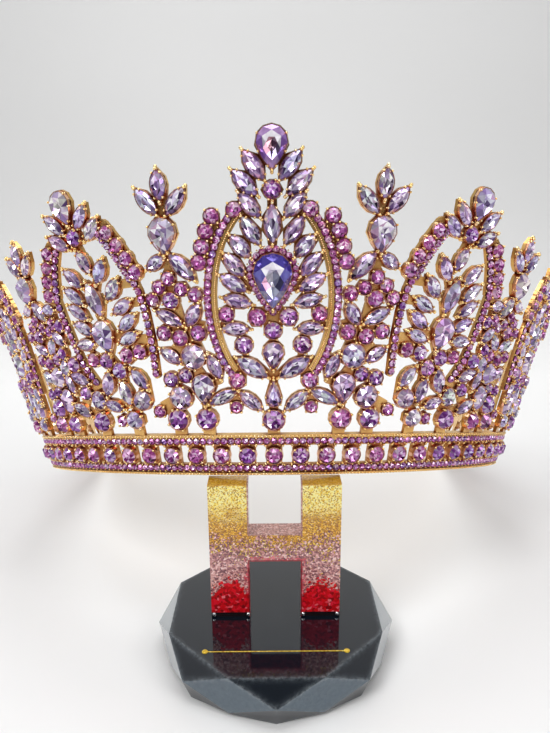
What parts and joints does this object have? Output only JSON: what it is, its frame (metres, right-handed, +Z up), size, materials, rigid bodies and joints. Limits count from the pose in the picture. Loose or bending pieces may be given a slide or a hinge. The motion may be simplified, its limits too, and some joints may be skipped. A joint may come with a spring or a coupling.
{
  "type": "pageant crown on stand",
  "caption": "Tall open-backed pageant crown: a stoned gold band, pierced castings of pear, navette and round stones, resting on a black faceted block with a glitter upright.",
  "frame": {"origin": "centre of the bounding box at the floor", "axes": "+Z up, the crown's front faces -Y, +X to the right as seen from the front"},
  "size_m": [0.1942, 0.1722, 0.1391],
  "materials": {
    "gold": "polished",
    "lilac_stone": "cut and polished",
    "violet_stone": "cut and polished",
    "black_crystal": "polished, worn along the edges",
    "glitter_resin": "gloss, filled with glitter"
  },
  "bodies": {
    "root": {"crown_frame": "gold", "stand_base": "black_crystal", "stand_upright": "glitter_resin", "centre_field": "lilac_stone", "spire_field_left": "lilac_stone", "panel_field_left": "lilac_stone", "spire2_field_left": "lilac_stone", "panel2_field_left": "lilac_stone", "back_field_left": "lilac_stone", "spire_field_right": "lilac_stone", "panel_field_right": "lilac_stone", "spire2_field_right": "lilac_stone", "panel2_field_right": "lilac_stone", "back_field_right": "lilac_stone", "centre_stone_1": "lilac_stone", "centre_stone_3": "lilac_stone", "centre_stone_4": "violet_stone", "centre_stone_6": "lilac_stone", "centre_stone_7": "lilac_stone", "navette_left_1": "lilac_stone", "navette_right_1": "lilac_stone", "navette_left_2": "lilac_stone", "navette_right_2": "lilac_stone", "navette_left_3": "lilac_stone", "navette_right_3": "lilac_stone", "navette_left_4": "lilac_stone", "navette_right_4": "lilac_stone", "navette_left_5": "lilac_stone", "navette_right_5": "lilac_stone", "navette_left_6": "lilac_stone", "navette_right_6": "lilac_stone", "navette_left_7": "lilac_stone", "navette_right_7": "lilac_stone", "navette_left_8": "lilac_stone", "navette_right_8": "lilac_stone", "navette_left_9": "lilac_stone", "navette_right_9": "lilac_stone", "navette_left_10": "lilac_stone", "navette_right_10": "lilac_stone", "navette_left_11": "lilac_stone", "navette_right_11": "lilac_stone", "navette_left_12": "lilac_stone", "navette_right_12": "lilac_stone", "spire_pear_left": "lilac_stone", "spire2_pear_left": "lilac_stone", "panel_stone_left_1": "lilac_stone", "panel_stone_left_2": "lilac_stone", "panel_stone_left_3": "lilac_stone", "spire_pear_right": "lilac_stone", "spire2_pear_right": "lilac_stone", "panel_stone_right_1": "lilac_stone", "panel_stone_right_2": "lilac_stone", "panel_stone_right_3": "lilac_stone"}
  },
  "joints": []
}
